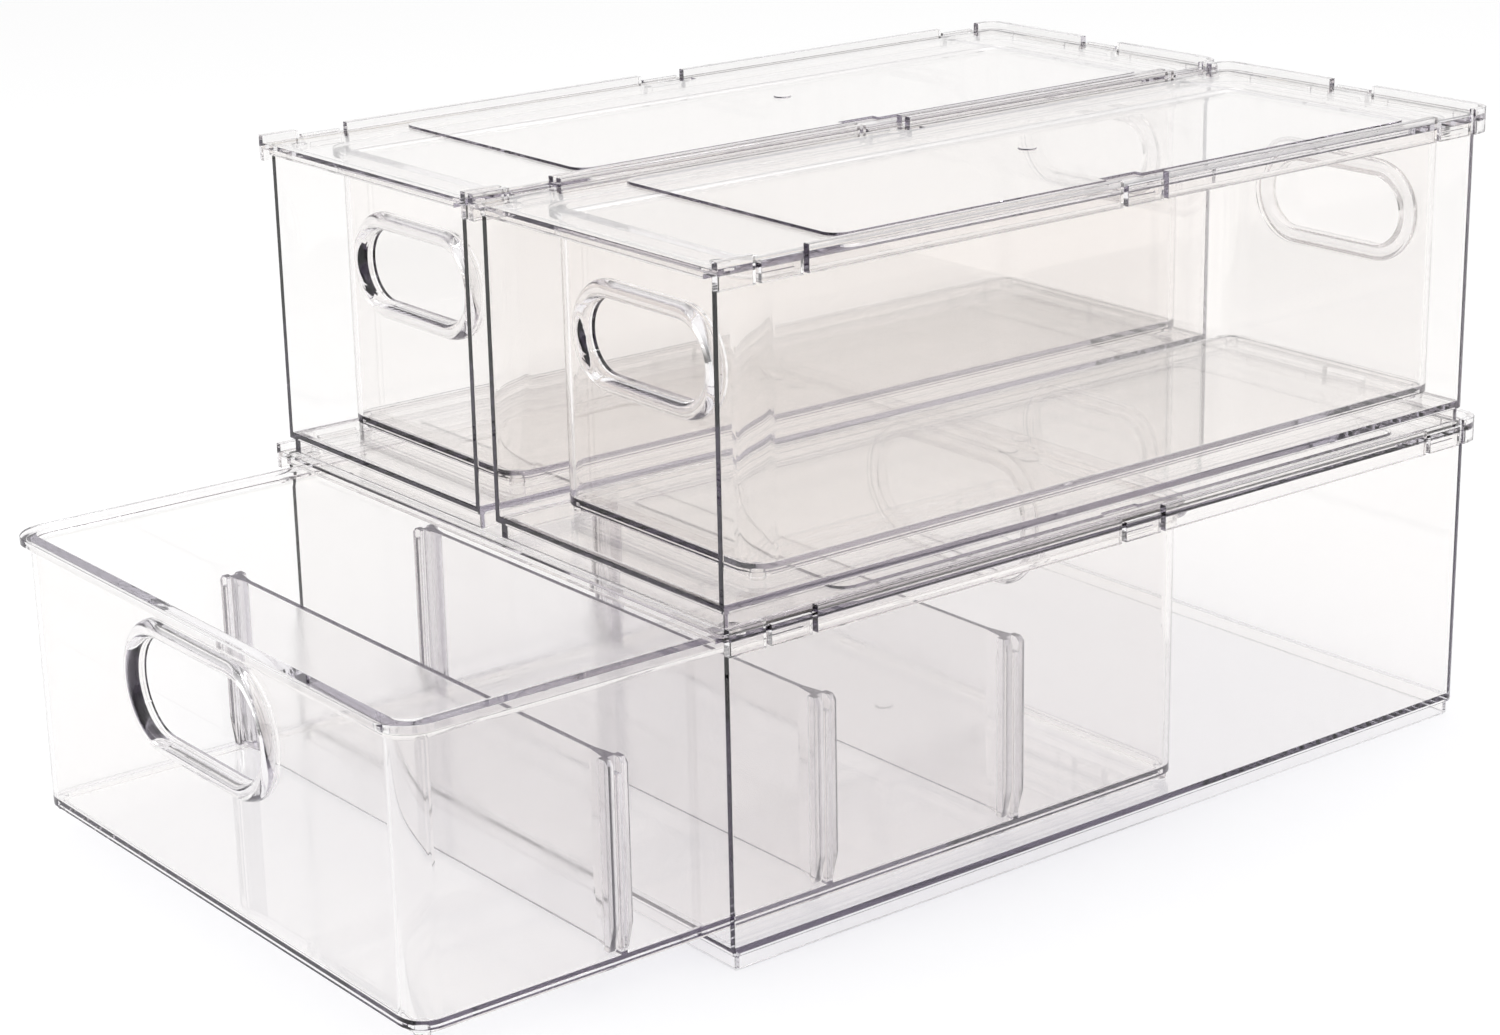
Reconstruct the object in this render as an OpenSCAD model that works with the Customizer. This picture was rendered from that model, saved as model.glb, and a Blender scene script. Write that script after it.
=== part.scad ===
// Stack of three clear storage bins: one wide bin with a divided drawer, and two
// narrow bins that stand side by side on its lid. Every bin is a case that is open
// at the front, a lid that presses on from above, and a drawer.
// Millimetres, +Z up, drawers open towards -Y. Heights are measured from the floor.

/* [Cases] */
// Depth of every case, front edge to rear wall
case_d = 320; // [312:1:360]
// Outer width of the wide lower case
wide_w = 242; // [236:1:262]
// Outer width of each narrow upper case
narrow_w = 115; // [104:1:116]
// Height from the foot's underside to the top of the case walls
case_h = 104; // [96:1:140]
// Thickness of the case walls and floor
wall = 2.3; // [1.8:0.1:3]
// Height of the foot ring under each case
foot_h = 5; // [4:0.5:7]
// Radius of the two rear vertical corners
case_r = 4; // [3.5:0.5:8]

/* [Lids] */
// Thickness of the lid plate
lid_t = 2; // [1.6:0.1:3]
// How far the lid reaches past the case at the sides and the rear
lid_over = 3.6; // [3.4:0.1:5]
// How far the lid reaches past the case at the front
lid_front = 2.4; // [1:0.1:4]
// Height of the stacking lip above the plate
lip_h = 2.4; // [1.5:0.1:4]
// Length of each springy clip between its two slots
clip_l = 15; // [10:0.5:24]
// Height of the raised locating panel
panel_h = 0.8; // [0.6:0.1:1.6]
// Gap between the two upper lids
lid_gap = 1.5; // [0.6:0.1:4]

/* [Drawers] */
// Outside length of every drawer over its rim
drawer_l = 303; // [290:1:305]
// How far the rim stands out from the drawer wall
rim_over = 3.2; // [2.6:0.1:5]
// Height of the rim's outer edge, above the hollow that blends it into the wall
rim_t = 2.4; // [1.6:0.1:4]
// Thickness of the drawer walls and floor
drawer_wall = 2.2; // [1.6:0.1:3]
// Outer radius of the drawer's vertical corners
drawer_r = 9; // [7:0.5:14]
// How far the wide drawer is drawn out from its closed position
wide_out = 122; // [0:1:250]

/* [Handles] */
// Width of the grip holes in the wide drawer
wide_grip_w = 76; // [50:1:100]
// Height of the grip holes in the wide drawer
wide_grip_h = 32; // [22:1:34]
// Width of the grip holes in a narrow drawer
narrow_grip_w = 60; // [40:1:64]
// Height of the grip holes in a narrow drawer
narrow_grip_h = 24; // [18:1:30]
// Width of the rounded bead around each grip hole
bead_w = 5.6; // [3:0.1:7]

/* [Dividers] */
// Height of the dividers
divider_h = 60; // [40:1:80]
// Thickness of the divider sheet
divider_t = 1.8; // [1.4:0.1:3]
// Distance between neighbouring dividers, and between the wall ribs that hold them
rib_pitch = 76; // [50:1:90]

/* [Hidden] */
$fn = 64;
clear = [0.93, 0.94, 0.96, 0.4];
clear_edge = [0.86, 0.87, 0.9, 0.5];

eps = 0.01;
bite = 0.5;
// Running clearance between a drawer's pads and the floor, and behind its rim.
run_gap = 0.3;

// Foot ring under a case.
foot_inset = 1.2;
foot_t = 2;

// Lid: skirt outside the walls, lip above the plate, front bar under the plate.
skirt_t = 2.6;
skirt_drop = 4;
lid_r = case_r + lid_over;
bar_drop = 1.4;
bar_d = 4;
slot_w = 2;
clip_drop = 0.9;
lug = [12, 0.6, 1.6];
lid_y0 = -lid_front;
lid_y1 = case_d + lid_over;
clip_ys = [20.5, lid_y0 / 2 + lid_y1 / 2 + 1, case_d - 16];
crush_rib = [1.2, 0.7, 3.6];
crush_xs = [-46, -17.5, 17.5, 46];
stop_r = 2.5;
stop_in = 5;
stop_y = 6.5;
gate_r = 3;
gate_h = 0.4;

// Locating panel of a lid, sized to sit inside a narrow case's foot ring.
panel_w = narrow_w - 12;
panel_y0 = 47;
panel_y1 = case_d - 28;
panel_r = 6;

// Stacking: the upper feet stand on the wide lid's plate.
pitch = case_h + lid_t;
narrow_x = narrow_w / 2 + lid_over + lid_gap / 2;

// Drawer: pads, foot ring, floor, walls and rim.
side_gap = 3.7;
pad_h = 0.8;
pad_r = 2.5;
pad_in = 5;
ring_h = 2;
ring_in = 2.5;
ring_t = 2;
floor_z = foot_h + wall;
pad_z = floor_z + run_gap;
ring_z = pad_z + pad_h;
tray_z = ring_z + ring_h;
tray_floor_z = tray_z + drawer_wall;
rim_top = case_h - bar_drop - 0.5;
closed_y = case_d - wall - run_gap - drawer_l;
wide_rim_w = wide_w - 2 * wall - 2 * side_gap;
narrow_rim_w = narrow_w - 2 * wall - 2 * side_gap;
wide_grip_z = rim_top - 27.6;
narrow_grip_z = rim_top - 33.6;
bead_out = 2.8;
bead_in = drawer_wall + 1;

// Dividers and the wall ribs that hold them.
rib_t = 2;
rib_d = 3;
rib_h = divider_h - 4;
rib_ys = [for (k = [-1:1]) drawer_l / 2 + k * rib_pitch];
wide_in_w = wide_rim_w - 2 * rim_over - 2 * drawer_wall;
post_w = 7.4;
post_d = 4.8;
post_gap = 0.4;
slot_gap = 0.3;
blend_l = 8;
blend_w = 4.6;
divider_w = wide_in_w - 2 * post_gap;

// Origin: middle of the whole stack's base, at the drawer position shown.
origin_y = (closed_y - wide_out + lid_y1) / 2;

// Outline from y0 to y1 with two rounded rear corners.
module rear_round(w, y0, y1, r) {
    translate([-w / 2, y0]) square([w, y1 - y0 - r]);
    translate([r - w / 2, y0]) square([w - 2 * r, y1 - y0]);
    for (side = [-1, 1]) translate([side * (w / 2 - r), y1 - r]) circle(r);
}

// Outline from y0 to y1 with four rounded corners.
module round_rect(w, y0, y1, r) {
    translate([-w / 2, y0 + r]) square([w, y1 - y0 - 2 * r]);
    translate([r - w / 2, y0]) square([w - 2 * r, y1 - y0]);
    for (x = [r - w / 2, w / 2 - r], y = [y0 + r, y1 - r]) translate([x, y]) circle(r);
}

// Sweeps a profile around the outline of round_rect. The profile's x runs outwards
// from the outline and its y runs up.
module sweep(w, y0, y1, r) {
    for (k = [0:3]) {
        run = (k % 2 == 0 ? w : y1 - y0) - 2 * r;
        translate([(k == 0 || k == 3 ? 1 : -1) * (w / 2 - r), k < 2 ? y1 - r : y0 + r]) {
            rotate(90 * k) rotate_extrude(angle = 90) translate([r, 0]) children();
            rotate(90 * k + 90) translate([0, run, 0]) rotate([90, 0, 0])
                linear_extrude(run) translate([r, 0]) children();
        }
    }
}

// Slab of an outline between two heights.
module slab(z0, z1) {
    translate([0, 0, z0]) linear_extrude(z1 - z0) children();
}

// Rectangular block centred on x, from y0 to y1 and z0 to z1.
module bar(w, y0, y1, z0, z1) {
    translate([-w / 2, y0, z0]) cube([w, y1 - y0, z1 - z0]);
}

// Short disc left where the plastic entered the mould, standing up from height z.
module gate_mark(y, z) {
    translate([0, y, z]) cylinder(r = gate_r, h = gate_h + bite);
}

// Lug on a case wall that the lid's clips press over.
module snap_lug() {
    translate([-lug[0] / 2, -bite, 0]) cube([lug[0], lug[1] + bite, lug[2]]);
}

// Case: floor, two sides, rear wall and foot ring, open at the front and the top.
module case_shell(w, rear_clips) {
    lug_z = case_h - skirt_drop + 0.8;
    difference() {
        slab(foot_h, case_h) rear_round(w, 0, case_d, case_r);
        slab(floor_z, case_h + 1) rear_round(w - 2 * wall, -1, case_d - wall, case_r - wall);
    }
    slab(0, foot_h + bite) difference() {
        rear_round(w - 2 * foot_inset, foot_inset, case_d - foot_inset, case_r - foot_inset);
        rear_round(w - 2 * (foot_inset + foot_t), foot_inset + foot_t,
            case_d - foot_inset - foot_t, 0.6);
    }
    gate_mark(case_d / 2, floor_z - bite);
    for (side = [-1, 1], y = clip_ys)
        translate([side * w / 2, y, lug_z]) rotate(-90 * side) snap_lug();
    for (x = rear_clips) translate([x, case_d, lug_z]) snap_lug();
}

// Two slots that free one clip, cut from outside at y = 0 towards +y.
module clip_cut(z0, z1) {
    for (side = [-1, 1])
        translate([side * (clip_l + slot_w) / 2 - slot_w / 2, 0, z0])
            cube([slot_w, 10, z1 - z0]);
    translate([-clip_l / 2, 0, z1 - clip_drop - 1]) cube([clip_l, 10, clip_drop + 1]);
    translate([-clip_l / 2, -10, pitch]) cube([clip_l, 11.2, z1 - pitch]);
}

// Lid: plate with skirt, stacking lip, front bar, clips and locating panels.
module lid_shell(w, panel_xs, rear_clips) {
    lid_w = w + 2 * lid_over;
    z0 = case_h - skirt_drop;
    z1 = pitch + lip_h;
    cut_in = lid_over - skirt_t;
    difference() {
        union() {
            slab(case_h, pitch) rear_round(lid_w, lid_y0, lid_y1, lid_r);
            slab(z0, z1) difference() {
                rear_round(lid_w, lid_y0, lid_y1, lid_r);
                rear_round(lid_w - 2 * skirt_t, lid_y0 - 1, lid_y1 - skirt_t, lid_r - skirt_t);
            }
            bar(w - 2 * wall - 1, lid_y0, bar_d + lid_y0, case_h - bar_drop, pitch);
            for (x = panel_xs) translate([x, 0, 0]) {
                slab(pitch - bite, pitch + panel_h)
                    round_rect(panel_w, panel_y0, panel_y1, panel_r);
                gate_mark((panel_y0 + panel_y1) / 2, pitch + panel_h - bite);
            }
            for (side = [-1, 1])
                translate([side * (w / 2 - wall - stop_in), stop_y, case_h - 1.6])
                    cylinder(r = stop_r, h = 1.6 + bite);
            for (x = rear_clips, dx = crush_xs)
                translate([x + dx, case_d + cut_in, case_h - crush_rib[2]])
                    bar(crush_rib[0], -crush_rib[1], bite, 0, crush_rib[2] + bite);
        }
        for (x = panel_xs) translate([x, 0, 0])
            slab(case_h - 1, case_h + panel_h)
                round_rect(panel_w - 2 * panel_h, panel_y0 + panel_h, panel_y1 - panel_h,
                    panel_r - panel_h);
        for (side = [-1, 1], y = clip_ys)
            translate([side * (w / 2 + cut_in), y, 0]) rotate(-90 * side)
                clip_cut(z0 - 1, z1 + eps);
        for (x = rear_clips) translate([x, case_d + cut_in, 0]) clip_cut(z0 - 1, z1 + eps);
    }
}

// Obround of the given width and height.
module obround(size) {
    r = size[1] / 2;
    translate([r - size[0] / 2, -r]) square([size[0] - size[1], size[1]]);
    for (side = [-1, 1]) translate([side * (size[0] / 2 - r), 0]) circle(r);
}

// Section of the grip bead: a bar whose outer end is round.
module bead_section(r) {
    translate([r, -bead_in]) square([bead_w, bead_in + bead_out - bead_w / 2]);
    translate([r + bead_w / 2, bead_out - bead_w / 2]) circle(bead_w / 2);
}

// Rounded bead around a grip hole, standing out along +Z.
module grip_bead(size) {
    r = size[1] / 2;
    run = size[0] - size[1];
    for (side = [-1, 1])
        translate([side * run / 2, 0, 0]) rotate(-90 * side)
            rotate_extrude(angle = 180) bead_section(r);
    for (flip = [0, 1]) mirror([0, flip, 0])
        translate([-run / 2, 0, 0]) rotate([90, 0, 90])
            linear_extrude(run) bead_section(r);
}

// Section of the drawer rim: a square edge with a hollow blend down to the wall.
module rim_section() {
    drop = rim_t + rim_over;
    difference() {
        translate([-bite, -drop]) square([bite + rim_over, drop]);
        translate([rim_over, -drop]) circle(rim_over);
    }
}

// Drawer: pads, foot ring, floor, walls, outward rim and a grip hole at each end.
module drawer_shell(rim_w, grip, grip_z, ribs) {
    body_w = rim_w - 2 * rim_over;
    y0 = rim_over;
    y1 = drawer_l - rim_over;
    in_w = body_w - 2 * drawer_wall;
    difference() {
        union() {
            slab(tray_z, rim_top) round_rect(body_w, y0, y1, drawer_r);
            translate([0, 0, rim_top]) sweep(body_w, y0, y1, drawer_r) rim_section();
        }
        slab(tray_floor_z, rim_top + 1)
            round_rect(in_w, y0 + drawer_wall, y1 - drawer_wall, drawer_r - drawer_wall);
        translate([0, -1, grip_z]) rotate([90, 0, 0])
            translate([0, 0, -drawer_l - 2]) linear_extrude(drawer_l + 4) obround(grip);
    }
    translate([0, y0, grip_z]) rotate([90, 0, 0]) grip_bead(grip);
    translate([0, y1, grip_z]) rotate([90, 0, 180]) grip_bead(grip);
    slab(ring_z, tray_z + bite) difference() {
        round_rect(body_w - 2 * ring_in, y0 + ring_in, y1 - ring_in, drawer_r - ring_in);
        round_rect(body_w - 2 * (ring_in + ring_t), y0 + ring_in + ring_t,
            y1 - ring_in - ring_t, drawer_r - ring_in - ring_t);
    }
    for (x = [-1, 1] * (body_w / 2 - pad_in), y = [y0 + pad_in, y1 - pad_in])
        translate([x, y, pad_z]) cylinder(r = pad_r, h = pad_h + ring_h + bite);
    gate_mark(drawer_l / 2, tray_z - gate_h);
    for (side = [-1, 1], y = ribs)
        translate([side * (in_w / 2 - rib_d / 2 + bite / 2), y, tray_floor_z - bite])
            bar(rib_d + bite, -rib_t / 2, rib_t / 2, 0, rib_h + bite);
}

// Plan of one divider end: a channel that straddles a wall rib, blended to the sheet.
module divider_end() {
    face = divider_w / 2 - post_d;
    difference() {
        translate([face, -post_w / 2]) square([post_d, post_w]);
        translate([divider_w / 2 - rib_d - slot_gap, -rib_t / 2 - slot_gap])
            square([rib_d + 1, rib_t + 2 * slot_gap]);
    }
    polygon([
        [face - blend_l, -divider_t / 2],
        [face + bite, -blend_w / 2],
        [face + bite, blend_w / 2],
        [face - blend_l, divider_t / 2],
    ]);
}

// Divider: thin sheet with a channel post at each end, tapered at the foot.
module divider(y) {
    half = divider_w / 2;
    taper = [2.5, 9];
    crown = 1.5;
    translate([0, y, tray_floor_z + run_gap]) intersection() {
        linear_extrude(divider_h) {
            translate([-half + post_d, -divider_t / 2])
                square([divider_w - 2 * post_d, divider_t]);
            divider_end();
            mirror([1, 0]) divider_end();
        }
        rotate([90, 0, 0]) translate([0, 0, -post_w]) linear_extrude(2 * post_w) polygon([
            [-half + taper[0], 0],
            [half - taper[0], 0],
            [half, taper[1]],
            [half, divider_h - crown],
            [half - crown, divider_h],
            [-half + crown, divider_h],
            [-half, divider_h - crown],
            [-half, taper[1]],
        ]);
    }
}

// Places a piece in the stack: side -1, 0 or 1, level 0 or 1, and distance drawn out.
module at(side, level, y = 0) {
    translate([side * narrow_x, y - origin_y, level * pitch]) children();
}

module wide_case() {
    color(clear) at(0, 0) case_shell(wide_w, [-narrow_x, narrow_x]);
}

module wide_lid() {
    color(clear_edge) at(0, 0)
        lid_shell(wide_w, [-narrow_x, narrow_x], [-narrow_x, narrow_x]);
}

module wide_drawer() {
    color(clear) at(0, 0, closed_y - wide_out)
        drawer_shell(wide_rim_w, [wide_grip_w, wide_grip_h], wide_grip_z, rib_ys);
}

module front_divider() {
    color(clear_edge) at(0, 0, closed_y - wide_out) divider(rib_ys[0]);
}

module middle_divider() {
    color(clear_edge) at(0, 0, closed_y - wide_out) divider(rib_ys[1]);
}

module rear_divider() {
    color(clear_edge) at(0, 0, closed_y - wide_out) divider(rib_ys[2]);
}

module narrow_case(side) {
    color(clear) at(side, 1) case_shell(narrow_w, [0]);
}

module narrow_lid(side) {
    color(clear_edge) at(side, 1) lid_shell(narrow_w, [0], [0]);
}

module narrow_drawer(side) {
    color(clear) at(side, 1, closed_y)
        drawer_shell(narrow_rim_w, [narrow_grip_w, narrow_grip_h], narrow_grip_z, []);
}

wide_case();
wide_lid();
wide_drawer();
front_divider();
middle_divider();
rear_divider();
narrow_case(-1);  // left_case
narrow_lid(-1);  // left_lid
narrow_drawer(-1);  // left_drawer
narrow_case(1);  // right_case
narrow_lid(1);  // right_lid
narrow_drawer(1);  // right_drawer
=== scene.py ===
import math

import bpy
from mathutils import Matrix, Vector


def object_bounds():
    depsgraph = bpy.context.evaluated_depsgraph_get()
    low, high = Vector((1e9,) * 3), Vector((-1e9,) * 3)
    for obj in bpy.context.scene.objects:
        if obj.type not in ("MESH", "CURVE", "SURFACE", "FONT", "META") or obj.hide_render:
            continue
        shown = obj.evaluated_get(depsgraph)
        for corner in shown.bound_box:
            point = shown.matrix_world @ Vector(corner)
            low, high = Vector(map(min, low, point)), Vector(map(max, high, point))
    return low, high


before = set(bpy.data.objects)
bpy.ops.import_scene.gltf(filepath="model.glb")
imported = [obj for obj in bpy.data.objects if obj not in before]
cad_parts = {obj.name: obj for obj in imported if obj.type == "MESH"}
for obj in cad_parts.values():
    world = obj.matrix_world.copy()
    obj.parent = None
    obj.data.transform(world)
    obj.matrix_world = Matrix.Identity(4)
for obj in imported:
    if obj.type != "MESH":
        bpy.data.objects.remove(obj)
cad_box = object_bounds()
centre = (cad_box[0] + cad_box[1]) / 2
scene = bpy.context.scene

# Camera: degrees, metres, and the lens for a sensor 36 mm wide.
AZIMUTH, ELEVATION, ROLL = 51.999, 17.899, -1.158
DISTANCE = 1.082549
AIM_FROM_CENTRE = (-0.0017, -0.0034, -0.0188)
LENS_MM, SENSOR_MM = 78.3108, 36

# Plastic. The absorption colour shows where light has run a long way inside a wall.
PLUM = (0.34, 0.29, 0.4, 1)
BODY_COLOUR = (1, 0.993, 0.984, 1)
SHADOW_COLOUR = (0.985, 0.985, 0.987, 1)
IOR = 1.5
# Metres. The lids and drawers have steps too small for a wider radius.
EDGE_RADIUS = {"case": 0.00025, "lid": 0.00015, "drawer": 0.00015, "divider": 0.00025}

# Studio. The level direction from the object towards the camera; the dark flags stand across it.
CAMERA_SIDE = (0.788, -0.616, 0)
# Brightness of the dome near the floor, from straight behind the object (0) to the camera (1).
LOW_DOME = [(0, 0.99), (0.1, 0.97), (0.25, 0.3), (0.4, 0.06), (0.62, 0.06), (0.8, 0.2), (1, 0.3)]
# Brightness overhead, and the part that is overhead at each sine of the elevation.
HIGH_DOME = 1.08
DOME_RISE = [(0.2, 0), (0.6, 1)]
# Brightness of the dome where the camera sees it directly, past the floor's far edge.
SEEN_DOME = 0.98
FLOOR_GREY = 0.97
FLOOR_HALF = 8
LAMPS = [
    {"name": "overhead", "place": (0.2, 0.3, 1.6), "size": (1.6, 1.2), "watts": 4.2},
    {"name": "strip_front", "place": (-0.7, -1.1, 0.9), "size": (0.6, 0.06), "watts": 1.2},
    {"name": "strip_rear", "place": (1.1, 0.8, 1.2), "size": (0.6, 0.06), "watts": 1.2},
]

# Light runs along inside the walls for dozens of reflections before it leaves at an edge.
BOUNCES = 72


# ---------------------------------------------------------------- camera
def make_camera():
    """A long lens at the viewing angle of the real picture, rolled a touch."""
    azimuth, elevation, roll = (math.radians(a) for a in (AZIMUTH, ELEVATION, ROLL))
    target = centre + Vector(AIM_FROM_CENTRE)
    back = Vector(
        (
            math.sin(azimuth) * math.cos(elevation),
            -math.cos(azimuth) * math.cos(elevation),
            math.sin(elevation),
        )
    )
    data = bpy.data.cameras.new("camera")
    data.sensor_width = SENSOR_MM
    data.lens = LENS_MM
    data.clip_start, data.clip_end = 0.05, 50
    cam = bpy.data.objects.new("camera", data)
    scene.collection.objects.link(cam)
    right = (-back).cross(Vector((0, 0, 1))).normalized()
    up = right.cross(-back)
    rolled_right = right * math.cos(roll) + up * math.sin(roll)
    rolled_up = up * math.cos(roll) - right * math.sin(roll)
    turn = Matrix((rolled_right, rolled_up, back)).transposed().to_4x4()
    cam.matrix_world = Matrix.Translation(target + back * DISTANCE) @ turn
    scene.camera = cam


# ---------------------------------------------------------------- materials
def new_material(name):
    """Empty node material and its tree."""
    mat = bpy.data.materials.new(name)
    mat.use_nodes = True
    nt = mat.node_tree
    nt.nodes.clear()
    return mat, nt


def clear_plastic(name, density, roughness, wave, seed):
    """Clear injection-moulded plastic: real refraction, a little plum absorption that shows at
    the edges, faint flow waves along the mould's length and a slightly uneven polish.

    Shadows and the light that reaches the floor pass through a plain transparent stand-in."""
    mat, nt = new_material(name)
    n, link = nt.nodes, nt.links
    out = n.new("ShaderNodeOutputMaterial")
    shader = n.new("ShaderNodeBsdfPrincipled")
    shader.inputs["Base Color"].default_value = BODY_COLOUR
    shader.inputs["IOR"].default_value = IOR
    shader.inputs["Transmission Weight"].default_value = 1
    place = n.new("ShaderNodeTexCoord")

    shift = n.new("ShaderNodeMapping")
    shift.inputs["Location"].default_value = (seed, seed * 0.7, -seed)
    shift.inputs["Scale"].default_value = (1, 0.45, 1)
    link.new(place.outputs["Object"], shift.inputs["Vector"])

    flow = n.new("ShaderNodeTexNoise")
    flow.inputs["Scale"].default_value = 26
    flow.inputs["Detail"].default_value = 2
    link.new(shift.outputs["Vector"], flow.inputs["Vector"])
    bump = n.new("ShaderNodeBump")
    bump.inputs["Strength"].default_value = wave
    bump.inputs["Distance"].default_value = 0.001
    link.new(flow.outputs["Fac"], bump.inputs["Height"])
    link.new(bump.outputs["Normal"], shader.inputs["Normal"])

    haze = n.new("ShaderNodeTexNoise")
    haze.inputs["Scale"].default_value = 60
    haze.inputs["Detail"].default_value = 5
    link.new(place.outputs["Object"], haze.inputs["Vector"])
    polish = n.new("ShaderNodeMapRange")
    polish.inputs["From Min"].default_value = 0.35
    polish.inputs["From Max"].default_value = 0.75
    polish.inputs["To Min"].default_value = roughness * 0.5
    polish.inputs["To Max"].default_value = roughness * 1.6
    link.new(haze.outputs["Fac"], polish.inputs["Value"])
    link.new(polish.outputs["Result"], shader.inputs["Roughness"])

    see = n.new("ShaderNodeBsdfTransparent")
    see.inputs["Color"].default_value = SHADOW_COLOUR
    path = n.new("ShaderNodeLightPath")
    mix = n.new("ShaderNodeMixShader")
    soft = n.new("ShaderNodeMath")
    soft.operation = "MAXIMUM"
    link.new(path.outputs["Is Shadow Ray"], soft.inputs[0])
    link.new(path.outputs["Is Diffuse Ray"], soft.inputs[1])
    link.new(soft.outputs["Value"], mix.inputs["Fac"])
    link.new(shader.outputs["BSDF"], mix.inputs[1])
    link.new(see.outputs["BSDF"], mix.inputs[2])
    link.new(mix.outputs["Shader"], out.inputs["Surface"])

    soak = n.new("ShaderNodeVolumeAbsorption")
    soak.inputs["Color"].default_value = PLUM
    soak.inputs["Density"].default_value = density
    link.new(soak.outputs["Volume"], out.inputs["Volume"])
    return mat


def dress_nodes():
    """Gives every CAD node its plastic, joins its mesh and rounds its edges."""
    kinds = {
        "case": clear_plastic("case_clear", density=11, roughness=0.012, wave=0.02, seed=0.3),
        "lid": clear_plastic("lid_clear", density=11, roughness=0.012, wave=0.02, seed=1.7),
        "drawer": clear_plastic("drawer_clear", density=11, roughness=0.012, wave=0.02, seed=3.1),
        "divider": clear_plastic("divider_clear", density=34, roughness=0.09, wave=0.03, seed=4.9),
    }
    for name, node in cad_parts.items():
        kind = name.split("_")[-1]
        node.data.materials.clear()
        node.data.materials.append(kinds[kind])
        weld = node.modifiers.new("weld", "WELD")
        weld.merge_threshold = 1e-6
        flat = node.modifiers.new("merge_flat_faces", "DECIMATE")
        flat.decimate_type = "DISSOLVE"
        flat.angle_limit = math.radians(0.6)
        edge = node.modifiers.new("edge_radius", "BEVEL")
        edge.width = EDGE_RADIUS[kind]
        edge.segments = 2
        edge.limit_method = "ANGLE"
        edge.angle_limit = math.radians(32)
        edge.use_clamp_overlap = False
        edge.harden_normals = True
        keep = node.modifiers.new("face_normals", "WEIGHTED_NORMAL")
        keep.keep_sharp = True


# ---------------------------------------------------------------- studio
def make_floor():
    """Matt pale floor, wide enough to fill the view."""
    mesh = bpy.data.meshes.new("floor")
    h = FLOOR_HALF
    corners = [(-h, -h, 0), (h, -h, 0), (h, h, 0), (-h, h, 0)]
    mesh.from_pydata(corners, [], [(0, 1, 2, 3)])
    floor = bpy.data.objects.new("floor", mesh)
    scene.collection.objects.link(floor)
    floor.location.z = cad_box[0].z
    mat, nt = new_material("floor_paint")
    out = nt.nodes.new("ShaderNodeOutputMaterial")
    shader = nt.nodes.new("ShaderNodeBsdfPrincipled")
    shader.inputs["Base Color"].default_value = (FLOOR_GREY, FLOOR_GREY, FLOOR_GREY, 1)
    shader.inputs["Roughness"].default_value = 0.6
    shader.inputs["Specular IOR Level"].default_value = 0
    nt.links.new(shader.outputs["BSDF"], out.inputs["Surface"])
    mesh.materials.append(mat)


def add_ramp(nt, source, stops):
    """Colour ramp of greys, from (position, value) pairs."""
    ramp = nt.nodes.new("ShaderNodeValToRGB")
    nt.links.new(source, ramp.inputs["Fac"])
    elements = ramp.color_ramp.elements
    for element, (at, value) in zip(elements, (stops[0], stops[-1])):
        element.position = at
        element.color = (value, value, value, 1)
    for at, value in stops[1:-1]:
        elements.new(at).color = (value, value, value, 1)
    return ramp.outputs["Color"]


def blend(nt, factor, colour, other):
    """Colour that turns into the constant grey other as the factor goes from 0 to 1."""
    mix = nt.nodes.new("ShaderNodeMix")
    mix.data_type = "RGBA"
    nt.links.new(factor, mix.inputs["Factor"])
    nt.links.new(colour, mix.inputs["A"])
    mix.inputs["B"].default_value = (other, other, other, 1)
    return mix.outputs["Result"]


def make_world():
    """Soft studio dome: bright overhead and behind, with dark flags low at both sides, which
    draw the edges of the clear parts. Seen directly, it matches the far floor."""
    world = bpy.data.worlds.new("studio")
    scene.world = world
    world.use_nodes = True
    nt = world.node_tree
    nt.nodes.clear()
    out = nt.nodes.new("ShaderNodeOutputWorld")
    back = nt.nodes.new("ShaderNodeBackground")
    place = nt.nodes.new("ShaderNodeTexCoord")
    part = nt.nodes.new("ShaderNodeSeparateXYZ")
    nt.links.new(place.outputs["Generated"], part.inputs["Vector"])

    front = nt.nodes.new("ShaderNodeVectorMath")
    front.operation = "DOT_PRODUCT"
    front.inputs[1].default_value = CAMERA_SIDE
    nt.links.new(place.outputs["Generated"], front.inputs[0])
    around = nt.nodes.new("ShaderNodeMapRange")
    around.inputs["From Min"].default_value = -1
    nt.links.new(front.outputs["Value"], around.inputs["Value"])
    low = add_ramp(nt, around.outputs["Result"], LOW_DOME)
    high = add_ramp(nt, part.outputs["Z"], DOME_RISE)
    path = nt.nodes.new("ShaderNodeLightPath")
    dome = blend(nt, high, low, HIGH_DOME)
    seen = blend(nt, path.outputs["Is Camera Ray"], dome, SEEN_DOME)
    nt.links.new(seen, back.inputs["Color"])
    nt.links.new(back.outputs["Background"], out.inputs["Surface"])


def make_lamp(name, place, size, watts):
    """Rectangular lamp that points at the middle of the stack."""
    data = bpy.data.lights.new(name, "AREA")
    data.shape = "RECTANGLE"
    data.size, data.size_y = size
    data.energy = watts
    lamp = bpy.data.objects.new(name, data)
    scene.collection.objects.link(lamp)
    lamp.location = place
    lamp.rotation_mode = "QUATERNION"
    lamp.rotation_quaternion = (centre - Vector(place)).to_track_quat("-Z", "Y")


make_camera()
dress_nodes()
make_floor()
make_world()
for lamp_facts in LAMPS:
    make_lamp(**lamp_facts)

scene.view_settings.view_transform = "Standard"
scene.cycles.max_bounces = BOUNCES
scene.cycles.glossy_bounces = BOUNCES
scene.cycles.transmission_bounces = BOUNCES
scene.cycles.transparent_max_bounces = BOUNCES
scene.cycles.caustics_refractive = False
scene.cycles.caustics_reflective = False
